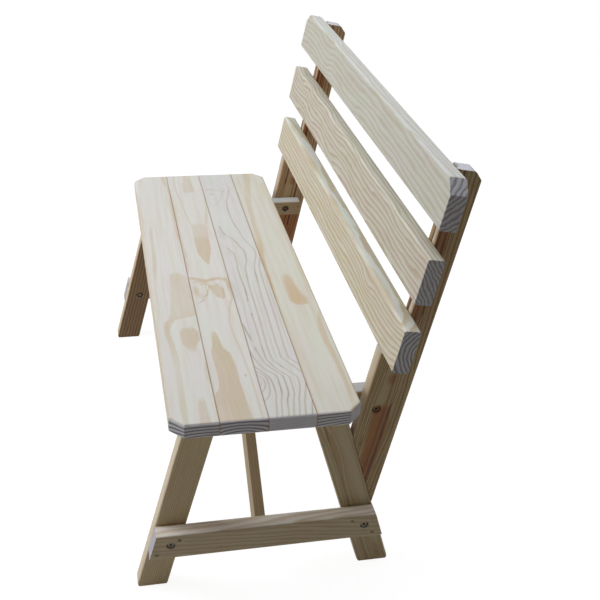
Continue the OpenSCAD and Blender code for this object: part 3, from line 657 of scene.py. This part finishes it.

# On the posts and front legs, along runs up from the floor and across from the front edge
# The tint of the posts' two sides is painted shade.
POST_GRAIN = dict(
    length=940.0, crest=.22, rate=.02, pith=-26.0,
    centre=[(0, 40), (300, 34), (500, 36), (940, 26)],
    bands=[
        ([(0, 57), (230, 57), (300, 60), (400, 67), (480, 66), (560, 58), (940, 44)], 3.1, .69),
        ([(0, 66), (230, 66), (300, 69), (400, 75), (480, 74), (560, 67), (940, 53)], 3.1, .69),
        ([(0, 74), (230, 74), (300, 76), (400, 81), (480, 80), (560, 75), (940, 62)], 3.0, .69),
        ([(0, 82), (400, 87), (560, 83), (940, 71)], 3.0, .69),
        ([(0, 89), (560, 90), (940, 79)], 2.8, .68),
        ([(0, 26), (250, 20), (340, 15), (430, 14), (520, 19), (940, 14)], 3.0, .68),
        ([(0, 17), (250, 11), (340, 6), (430, 6), (520, 10), (940, 6)], 2.6, .66),
        ([(0, 44), (460, 52), (560, 46), (700, 40), (940, 34)], 3.0, .62),
        ([(0, 36), (460, 42), (560, 38), (700, 32), (940, 24)], 2.6, .52),
    ],
    swells=[(420, 27, 9, 6, .72)],
    heart_and_shade=[
        ([(200, 48), (240, 36), (290, 26), (350, 23), (420, 21), (440, 30)],
         [(200, 52), (240, 55), (290, 56), (350, 58), (420, 54), (440, 44)], 7.0,
         [(0, 0), (190, 0), (250, .8), (340, 1.1), (420, 1.0), (455, 0), (940, 0)]),
        (30.0, 46.0, 8.0, [(0, 0), (475, 0), (495, .8), (505, .7), (530, 0), (940, 0)]),
        (34.0, 50.0, 8.0, [(0, 0), (590, 0), (620, .9), (655, .9), (700, 0), (940, 0)]),
        (30.0, 56.0, 9.0, [(0, 0), (740, 0), (775, .9), (810, .9), (850, 0), (940, 0)]),
        (18.0, 44.0, 8.0, [(0, .8), (120, .7), (200, 0), (940, 0)]),
        (58.0, 120.0, 8.0, .22),
    ],
    wobble=.10, line=1.0, tan_start=.24, fibre=.08, seed=20, painted_side_shade=(.64, .57, .40),
    end_rings=.5, end_shade=.80, tones=((211, 200, 175), (160, 124, 82), (72, 46, 24)),
)
# Warmer than its twin, with a lighter painted shade on its sides, and painted shade under the
# seat: a reddening patch over its whole width below it
LEFT_POST = dict(
    painted_side_shade=(.90, .72, .53),
    heart_and_shade=[*POST_GRAIN["heart_and_shade"], (-10.0, 100.0, 8.0, [(0, .62), (400, .62), (425, 0), (940, 0)])],
)
# The tint of the front legs' two sides is painted shade.
FRONT_LEG_GRAIN = dict(
    length=460.0, crest=.2, rate=.25, pith=40.0, centre=-60.0, wobble=.34, soft=.3, line=.6,
    tan_start=.3, fibre=.07, seed=21, painted_side_shade=(.71, .66, .54),
)
# Under the seat at the far end: a deeper painted shade on its sides, and darker tan and lines,
# partly its own brown stripes and partly painted shade of the seat.
LEFT_FRONT_LEG = dict(
    rate=.13, wobble=.14, soft=.28, line=1.0, tan_start=.1, painted_side_shade=(.42, .33, .24),
    tones=(None, (176, 142, 100), (78, 50, 28)),
)
# On the rear legs, across runs from the rear edge
# The tint of the rear legs' two sides is painted shade.
REAR_LEG_GRAIN = dict(
    length=470.0, crest=.25, rate=.03, pith=-20.0, centre=8.0, wobble=.08, soft=.06, line=1.0,
    tan_start=.24, fibre=.05, seed=22, painted_side_shade=(.65, .62, .52),
    swells=[(30, 16, 30, 9, .55), (120, 26, 40, 8, .3)],
    bands=[
        ([(0, 34), (180, 38), (270, 36), (330, 31), (400, 39), (470, 52)], 2.6, .58),
        ([(0, 47), (190, 50), (300, 48), (400, 55), (470, 64)], 3.2, .56),
        ([(0, 58), (300, 58), (470, 70)], 2.2, .50),
        ([(0, 4), (470, 3)], 1.8, .44),
    ],
)
# On the rails, bearers and cleat, along runs from the front and across down from the top
# The rails' pale tones are raised and their sides tinted darker: painted light on the top and
# painted shade on the sides.
RAIL_GRAIN = dict(
    length=520.0, rate=.10, pith=30.0, centre=[(0, -75), (260, -58), (520, -30)], wobble=.30,
    soft=.3, line=.6, tan_start=.20, fibre=.06, seed=23, painted_side_shade=(.56, .49, .37), end_rings=.25,
    end_shade=.69, tones=((242, 236, 222), (208, 189, 162), (158, 130, 100)),
)
# The warm brown tint of the bearers' two sides is painted shade.
BEARER_GRAIN = dict(
    rate=.14, pith=30.0, centre=-22.0, wobble=.12, soft=.2, line=.3, tan_start=.4, fibre=.05,
    seed=24, painted_side_shade=(.78, .56, .32),
    tones=((207, 209, 207), (192, 187, 177), (172, 162, 148)),
)
# A pin knot close to the end of the left bearer's tail: a heart patch's edges and fade, and its
# heights by their distance from that end
PIN_KNOT = (13.0, 18.0, 1.0)
PIN_KNOT_HEIGHTS = ((9, 0), (7, 1.5), (3, 1.5), (1, 0))
CLEAT_GRAIN = dict(rate=.14, pith=30.0, centre=-22.0, seed=41)
BRACE_GRAIN = dict(
    rate=.16, pith=-22.0, centre=-8.0, wobble=.12, soft=.3, line=.15, tan_start=.3, fibre=.05,
    seed=25,
)
BRACE_SHADES = (1.0, 0.85, 0.7)      # pale, tan and line as shares of the braces' brown
SEED_APART = {"left": 0, "right": 10}


def board_frame(start, along, across):
    """Location and turning of a board's own frame, with its three axes."""
    along = Vector(along).normalized()
    across = Vector(across).normalized()
    out = along.cross(across)
    turn = Matrix((along, across, out)).transposed()
    return tuple(start), tuple(turn.to_euler("XYZ")), tuple(along), tuple(across), tuple(out)


def corner(node, x, y, z):
    """A corner of a node's box; 0 takes the low side and 1 the high side."""
    low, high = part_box(node)
    return [(low[i], high[i])[pick] for i, pick in enumerate((x, y, z))]


def raked(node, lean, start, sense=1):
    """Frame of a post or leg with a side that faces the bench's other end.

    A sense of 1 is a timber that leans back, counted across from its front edge, and a sense of
    -1 one that leans forward, counted from its rear edge.
    """
    return board_frame(
        (corner(node, 1, 0, 0)[0], start, 0.0),
        (0, sense * math.sin(lean), math.cos(lean)), (0, sense * math.cos(lean), -math.sin(lean)),
    )


def level(node):
    """Frame of a rail, bearer or cleat, from the top of its front end."""
    return board_frame(corner(node, 1, 0, 1), (0, 1, 0), (0, 0, -1))


# Inputs of the groups that a board's grain sets, by the name of the value
RING_INPUTS = {
    "Crest": "crest", "Ring Rate": "rate", "Pith": "pith", "Centre": "centre",
    "Depth Rate": "depth", "Skew": "skew", "Arch": "arch", "Wobble": "wobble", "Seed": "seed",
}
SURFACE_INPUTS = {
    "Tan Start": "tan_start", "Softness": "soft", "Line Strength": "line",
    "End Rings": "end_rings", "Fibre": "fibre", "Seed": "seed",
}
JOINT_DIRT = 0.38        # share of dirt right at a joint
DIRT_FALL = (0.4, 2.4)   # millimetres from the joint, in which the dirt ends
# How squarely a face points along, out of or across the board to be an end, a side with painted
# shade or an upper edge with painted light
END_FACING, PAINTED_SIDE_FACING, PAINTED_TOP_FACING = (0.45, 0.68), (0.55, 0.85), (0.55, 0.95)
BUMP_STRENGTH = 0.6
WOOD_SPECULAR = 0.35


def pine(name, place, grain, tones):
    """The material of one board: its rings, swells, bands, patches and surface, with painted shade
    on its sides and painted light on its upper edge where its grain has them.
    """
    grain = {**PLAIN_GRAIN, **grain}
    settings = timber()
    material = bpy.data.materials.new(name)
    w = cleared(material)
    location, turn, axis, across_axis, out = place
    where = w.node("ShaderNodeTexCoord").outputs
    mapping = w.node("ShaderNodeMapping", {
        "Vector": where["Object"], "Location": location, "Rotation": turn,
    }, vector_type="TEXTURE")
    scaled = w.node("ShaderNodeVectorMath", {0: mapping.outputs[0], "Scale": MM},
                    operation="SCALE")
    point = scaled.outputs["Vector"]
    along, across, _ = w.apart(point)

    def group(title, build, values):
        """Places a group; lists of points become curves along the board."""
        made = w.node("ShaderNodeGroup", node_tree=shared(title, build))
        for label, value in {"Point": point, **values}.items():
            if isinstance(value, list):
                value = w.curve(along, value, grain["length"])
            w.put(made.inputs[label], value)
        return made.outputs

    def ring_phase(own):
        given = {**grain, **own}
        return group("growth rings", ring_group, {
            label: given[key] for label, key in RING_INPUTS.items()
        })["Phase"]

    def patched(phase, patches):
        for upper, lower, fade, height in patches:
            phase = group("grain patch", patch_group, {
                "Upper": upper, "Lower": lower, "Fade": fade, "Height": height, "Phase": phase,
            })["Phase"]
        return phase

    def facing(direction):
        return w.vector("DOT_PRODUCT", where["Normal"], direction)

    phase = ring_phase({})
    end_phase = ring_phase(grain["end_view"]) if "end_view" in grain else phase
    for start, middle, reach_along, reach_across, height in grain["swells"]:
        phase = group("grain swell", swell_group, {
            "Centre": (start, middle, 0.0), "Size": (reach_along, reach_across, SWELL_DEPTH),
            "Height": height, "Phase": phase,
        })["Phase"]
    for middle, width, height in (*(ring_line(*line) for line in grain["lines"]), *grain["bands"]):
        phase = group("grain band", band_group, {
            "Middle": middle, "Width": width, "Height": height, "Phase": phase,
        })["Phase"]
    phase = patched(phase, grain["patches"])

    pale, tan, line = tones
    surface = group("pine surface", pine_group, {
        "Phase": phase, "End Phase": end_phase,
        "End Grain": w.smooth(w.calc("ABSOLUTE", facing(axis)), *END_FACING),
        "Pale": (*pale, 1.0), "Tan": (*tan, 1.0), "Line": (*line, 1.0),
        "End Pale": (*(v * grain["end_shade"] for v in settings.end_pale), 1.0),
        "End Dark": (*settings.end_dark, 1.0), "Roughness": settings.roughness,
        **{label: grain[key] for label, key in SURFACE_INPUTS.items()},
    })
    wood = surface["Color"]
    # Reddening patches: most are reddish core wood or a knot; one on the left post is painted
    # shade.
    if grain["heart_and_shade"]:
        heart_and_shade = patched(0.0, grain["heart_and_shade"])
        wood = w.mix(w.smooth(heart_and_shade, 0.0, 1.0), wood, w.tinted(wood, (*settings.heart_and_shade, 1.0)))
    # Painted shade: the two sides of a board are darkened by their tint, as if turned from the
    # light.
    if "painted_side_shade" in grain:
        painted_side_mask = w.smooth(w.calc("ABSOLUTE", facing(out)), *PAINTED_SIDE_FACING)
        wood = w.mix(painted_side_mask, wood, w.tinted(wood, (*grain["painted_side_shade"], 1.0)))
    # Painted light: the upper edge is lightened and cooled, as if lit from above.
    if "painted_top_light" in grain:
        painted_top_mask = w.smooth(facing([-v for v in across_axis]), *PAINTED_TOP_FACING)
        wood = w.mix(painted_top_mask, wood, w.tinted(wood, (*grain["painted_top_light"], 1.0)))
    if "joints" in grain:
        low, high = grain["joints"]
        near = w.calc("MINIMUM", w.minus(across, low), w.minus(high, across))
        dirt = w.times(w.smooth(near, *DIRT_FALL, 1.0, 0.0), JOINT_DIRT)
        wood = w.mix(dirt, wood, (*settings.dirt, 1.0))
    bump = w.node("ShaderNodeBump", {
        "Strength": BUMP_STRENGTH, "Distance": settings.relief, "Height": surface["Height"],
    })
    shader = w.node("ShaderNodeBsdfPrincipled", {
        "Base Color": wood, "Roughness": surface["Roughness"], "Normal": bump.outputs[0],
        "Specular IOR Level": WOOD_SPECULAR,
    })
    w.node("ShaderNodeOutputMaterial", {"Surface": shader.outputs[0]})
    return material


def dress(node, material):
    """Gives a carried-over CAD node its material."""
    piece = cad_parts[node]
    piece.data.materials.clear()
    piece.data.materials.append(material)


def usual_tones(kind):
    """Pale wood, broad tan and thin lines of the seat or of the frame."""
    settings = timber()
    return tuple(tuple(getattr(settings, f"{kind}_{part}")) for part in ("pale", "tan", "line"))


def finish_board(node, place, grain, usual=None):
    """Gives a board its pine; a tone that its grain doesn't name is the usual one."""
    own = grain.get("tones", (None, None, None))
    usual = usual or usual_tones("frame")
    colours = [srgb(*tone) if tone else tuple(plain) for tone, plain in zip(own, usual)]
    dress(node, pine(node.replace("_", " ") + " pine", place, grain, colours))


# ---------------------------------------------------------------- operators

OPEN_EDGE = 9.0          # millimetres by which the joints' dirt is kept off the seat's outer edges


class BENCH_OT_seat_boards(bpy.types.Operator):
    """Finish the four seat boards with flat-sawn pine"""
    bl_idname = "bench.seat_boards"
    bl_label = "Seat boards"

    def execute(self, context):
        for number, grain in enumerate(SEAT_GRAIN, start=1):
            node = f"seat_board_{number}"
            low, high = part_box(node)
            width = (high[1] - low[1]) * MM
            joints = (
                -OPEN_EDGE if number == 1 else 0.0,
                width + OPEN_EDGE if number == len(SEAT_GRAIN) else width,
            )
            place = board_frame(corner(node, 0, 0, 1), (1, 0, 0), (0, 1, 0))
            own = {**SEAT_COMMON, **grain, "seed": number, "joints": joints}
            finish_board(node, place, own, usual_tones("seat"))
        return {"FINISHED"}


class BENCH_OT_back_slats(bpy.types.Operator):
    """Finish the three back slats"""
    bl_idname = "bench.back_slats"
    bl_label = "Back slats"

    def execute(self, context):
        lean_up = (0, math.sin(BACK_LEAN), math.cos(BACK_LEAN))
        for node, grain in SLAT_GRAIN.items():
            low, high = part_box(node)
            top = (low[0], high[1] - STOCK * math.cos(BACK_LEAN), high[2])
            place = board_frame(top, (1, 0, 0), [-v for v in lean_up])
            finish_board(node, place, {**SLAT_COMMON, **grain})
        return {"FINISHED"}


def pairs(kind, grain, left=None):
    """Both nodes of a kind, each with its grain; the left one may have values of its own."""
    for side, apart in SEED_APART.items():
        own = left if side == "left" and left else {}
        yield f"{kind}_{side}", {**grain, **own, "seed": grain["seed"] + apart}


class BENCH_OT_back_posts(bpy.types.Operator):
    """Finish the two back posts"""
    bl_idname = "bench.back_posts"
    bl_label = "Back posts"

    def execute(self, context):
        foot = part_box("back_slat_bottom")[0][1] - POST_BELOW_SLATS * math.sin(BACK_LEAN)
        for node, grain in pairs("back_post", POST_GRAIN, LEFT_POST):
            finish_board(node, raked(node, BACK_LEAN, foot), grain)
        return {"FINISHED"}


class BENCH_OT_legs(bpy.types.Operator):
    """Finish the front and rear legs"""
    bl_idname = "bench.legs"
    bl_label = "Legs"

    def execute(self, context):
        for node, grain in pairs("front_leg", FRONT_LEG_GRAIN, LEFT_FRONT_LEG):
            place = raked(node, FRONT_LEG_LEAN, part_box(node)[0][1])
            finish_board(node, place, grain)
        for node, grain in pairs("rear_leg", REAR_LEG_GRAIN):
            place = raked(node, REAR_LEG_LEAN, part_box(node)[1][1], -1)
            finish_board(node, place, grain)
        return {"FINISHED"}


class BENCH_OT_end_rails(bpy.types.Operator):
    """Finish the two end rails"""
    bl_idname = "bench.end_rails"
    bl_label = "End rails"

    def execute(self, context):
        for node, grain in pairs("end_rail", RAIL_GRAIN):
            finish_board(node, level(node), grain)
        return {"FINISHED"}


class BENCH_OT_seat_supports(bpy.types.Operator):
    """Finish the seat bearers and the middle cleat"""
    bl_idname = "bench.seat_supports"
    bl_label = "Bearers and cleat"

    def execute(self, context):
        low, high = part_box("seat_bearer_left")
        tail = (high[1] - low[1]) * MM
        heights = [(tail - back, height) for back, height in PIN_KNOT_HEIGHTS]
        knot = (*PIN_KNOT, [(0, 0), *heights])
        bearer = dict(BEARER_GRAIN, length=tail)
        for node, grain in pairs("seat_bearer", bearer, {"heart_and_shade": [knot]}):
            finish_board(node, level(node), grain)
        finish_board("seat_cleat", level("seat_cleat"), CLEAT_GRAIN)
        return {"FINISHED"}


class BENCH_OT_braces(bpy.types.Operator):
    """Finish the two braces"""
    bl_idname = "bench.braces"
    bl_label = "Braces"

    def execute(self, context):
        brown = timber().brace
        shades = [[share * v for v in brown] for share in BRACE_SHADES]
        for node, grain in pairs("brace", BRACE_GRAIN):
            low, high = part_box(node)
            rises = node == "brace_left"
            slope = (high[0] - low[0], 0, (high[2] - low[2]) * (1 if rises else -1))
            start = (low[0], low[1], low[2] if rises else high[2])
            finish_board(node, board_frame(start, slope, (0, 1, 0)), grain, shades)
        return {"FINISHED"}


def plated(name, metal):
    """Zinc-plated steel of one colour."""
    material = bpy.data.materials.new(name)
    w = cleared(material)
    coat = w.node("ShaderNodeGroup", node_tree=shared("plating", plating_group))
    for label, value in (
        ("Point", w.node("ShaderNodeTexCoord").outputs["Object"]), ("Metal", (*metal, 1.0)),
        ("Roughness", steel().roughness),
    ):
        w.put(coat.inputs[label], value)
    shader = w.node("ShaderNodeBsdfPrincipled", {
        "Base Color": coat.outputs["Color"], "Roughness": coat.outputs["Roughness"],
        "Metallic": 1.0,
    })
    w.node("ShaderNodeOutputMaterial", {"Surface": shader.outputs[0]})
    return material


BRIGHT_NODES = ("rail_bolts", "leg_bolts")
DULL_NODES = (
    "pivot_bolts", "pivot_washers", "pivot_nuts", "rail_washers", "rail_nuts", "leg_washers",
    "leg_nuts",
)
SCREW_NODES = (
    "rail_screws", "seat_screws", "cleat_screws", "brace_foot_screws", "brace_head_screws",
    "slat_screws",
)


class BENCH_OT_bolts(bpy.types.Operator):
    """Finish the bolts, washers and nuts"""
    bl_idname = "bench.bolts"
    bl_label = "Bolts, washers and nuts"

    def execute(self, context):
        for name, metal, nodes in (
            ("zinc plate", steel().zinc, BRIGHT_NODES),
            ("weathered plate", steel().nut, DULL_NODES),
        ):
            finish = plated(name, metal)
            for node in nodes:
                dress(node, finish)
        return {"FINISHED"}


class BENCH_OT_screws(bpy.types.Operator):
    """Finish the wood screws"""
    bl_idname = "bench.screws"
    bl_label = "Wood screws"

    def execute(self, context):
        finish = plated("screw plate", steel().screw)
        for node in SCREW_NODES:
            dress(node, finish)
        return {"FINISHED"}


# Each lamp: name of its power, size, place, the point that it lights, and tint
LAMPS = (
    ("key", 2.2, (-0.75, -2.9, 2.4), (0, 0, 0.4), (0.86, 0.90, 1.0)),
    ("rear", 2.6, (-0.2, 2.8, 2.3), (0.0, 0.2, 0.6), (0.88, 0.92, 1.0)),
    ("top", 2.6, (-0.3, -0.2, 3.2), (0, 0, 0.4), (0.84, 0.90, 1.0)),
)
ROOM_TINT = (1.0, 0.91, 0.80, 1.0)
FLOOR_TINT = (0.72, 0.71, 0.69, 1.0)
WHITE = (1.0, 1.0, 1.0, 1.0)
FLOOR_NEAR = 0.9         # metres from the middle, where the floor's shadow starts to fade
FLOOR_FAR = 3.2
NEAR_SHARE = 0.72        # share of white near the bench, where the matt floor shows through
NEAR_GLOW = 1.28         # white's strength there, which makes up for the matt floor
CAMERA_PLACE = (1.858114, -0.349013, 1.530177)
CAMERA_YAW = 0.21503
CAMERA_PITCH = 0.50953
CAMERA_ROLL = 0.05119
CAMERA_SHIFT = (0.03975, -0.05534)
SENSOR_WIDTH = 36.0
CAMERA_REACH = 100.0


class BENCH_OT_stage(bpy.types.Operator):
    """Lay the floor and set the lamps and the camera"""
    bl_idname = "bench.stage"
    bl_label = "Stage"

    def execute(self, context):
        scene = context.scene
        settings = stage_settings()
        set_floor(scene, settings)
        for name, size, place, target, tint in LAMPS:
            data = bpy.data.lights.new(f"{name} lamp", "AREA")
            data.shape = "DISK"
            data.size = size
            data.energy = getattr(settings, name)
            data.color = tint
            made = bpy.data.objects.new(data.name, data)
            made.location = place
            aim = Vector(target) - Vector(place)
            made.rotation_euler = aim.to_track_quat("-Z", "Y").to_euler()
            scene.collection.objects.link(made)
        set_room(scene, settings)
        set_camera(scene, settings)
        scene.view_settings.view_transform = "Standard"
        return {"FINISHED"}


def set_floor(scene, settings):
    """A square floor."""
    half = settings.floor_size
    mesh = bpy.data.meshes.new("floor")
    mesh.from_pydata(
        [(-half, -half, 0), (half, -half, 0), (half, half, 0), (-half, half, 0)],
        [], [(0, 1, 2, 3)],
    )
    floor = bpy.data.objects.new("floor", mesh)
    scene.collection.objects.link(floor)
    mesh.materials.append(floor_material())


def floor_material():
    """Pale floor: plain matt for light that bounces, near white where it is seen.

    Close to the bench part of the matt floor shows through, so the shadow stays; the share fades
    to nothing between two distances from the middle.
    """
    material = bpy.data.materials.new("floor")
    w = cleared(material)
    where = w.node("ShaderNodeTexCoord").outputs["Object"]
    away = w.node("ShaderNodeVectorMath", {0: where}, operation="LENGTH").outputs["Value"]
    share = w.smooth(away, FLOOR_NEAR, FLOOR_FAR, NEAR_SHARE, 1.0)
    glow = w.smooth(away, FLOOR_NEAR, FLOOR_FAR, NEAR_GLOW, 1.0)
    matt = w.node("ShaderNodeBsdfDiffuse", {"Color": FLOOR_TINT})
    white = w.node("ShaderNodeEmission", {"Color": WHITE, "Strength": glow})
    blend = w.node("ShaderNodeMixShader", {
        0: w.times(w.seen(), share), 1: matt.outputs[0], 2: white.outputs[0],
    })
    w.node("ShaderNodeOutputMaterial", {"Surface": blend.outputs[0]})
    return material


def set_room(scene, settings):
    """Dim warm light from all round, and plain white where the room itself is seen."""
    world = bpy.data.worlds.new("room")
    scene.world = world
    w = cleared(world)
    dim = w.node("ShaderNodeBackground", {"Color": ROOM_TINT, "Strength": settings.ambient})
    white = w.node("ShaderNodeBackground", {"Color": WHITE, "Strength": 1.0})
    blend = w.node("ShaderNodeMixShader", {
        0: w.seen(), 1: dim.outputs[0], 2: white.outputs[0],
    })
    w.node("ShaderNodeOutputWorld", {"Surface": blend.outputs[0]})


def set_camera(scene, settings):
    """The camera looks along -X, turned by its yaw, pitch and roll."""
    data = bpy.data.cameras.new("camera")
    data.sensor_width = SENSOR_WIDTH
    data.lens = settings.lens
    data.shift_x, data.shift_y = CAMERA_SHIFT
    data.clip_end = CAMERA_REACH
    camera = bpy.data.objects.new("camera", data)
    ahead = Vector((
        -math.cos(CAMERA_YAW) * math.cos(CAMERA_PITCH),
        math.sin(CAMERA_YAW) * math.cos(CAMERA_PITCH),
        -math.sin(CAMERA_PITCH),
    ))
    right = Vector((math.sin(CAMERA_YAW), math.cos(CAMERA_YAW), 0.0))
    up = right.cross(ahead)
    turned_right = math.cos(CAMERA_ROLL) * right + math.sin(CAMERA_ROLL) * up
    turned_up = -math.sin(CAMERA_ROLL) * right + math.cos(CAMERA_ROLL) * up
    basis = Matrix((turned_right, turned_up, -ahead)).transposed().to_4x4()
    basis.translation = Vector(CAMERA_PLACE)
    camera.matrix_world = basis
    scene.collection.objects.link(camera)
    scene.camera = camera


STEPS = (
    BENCH_OT_seat_boards, BENCH_OT_back_slats, BENCH_OT_back_posts, BENCH_OT_legs,
    BENCH_OT_end_rails, BENCH_OT_seat_supports, BENCH_OT_braces, BENCH_OT_bolts,
    BENCH_OT_screws, BENCH_OT_stage,
)


class BENCH_PT_panel(bpy.types.Panel):
    """Lists the steps and settings of the bench"""
    bl_idname = "BENCH_PT_panel"
    bl_label = "Pine bench"
    bl_space_type = "VIEW_3D"
    bl_region_type = "UI"
    bl_category = "Pine bench"

    def draw(self, context):
        column = self.layout.column()
        for step in STEPS:
            column.operator(step.bl_idname)
        for group in (timber(), steel(), stage_settings()):
            for name in group.__annotations__:
                column.prop(group, name)


SETTINGS = {
    "bench_timber": BENCH_PG_timber, "bench_steel": BENCH_PG_steel, "bench_stage": BENCH_PG_stage,
}


def register():
    for name, group in SETTINGS.items():
        bpy.utils.register_class(group)
        setattr(bpy.types.Scene, name, bpy.props.PointerProperty(type=group))
    for kind in (*STEPS, BENCH_PT_panel):
        bpy.utils.register_class(kind)


def unregister():
    for kind in (BENCH_PT_panel, *reversed(STEPS)):
        bpy.utils.unregister_class(kind)
    for name, group in reversed(SETTINGS.items()):
        delattr(bpy.types.Scene, name)
        bpy.utils.unregister_class(group)


def main():
    register()
    for step in STEPS:
        area, name = step.bl_idname.split(".")
        getattr(getattr(bpy.ops, area), name)()


if __name__ == "__main__":
    main()
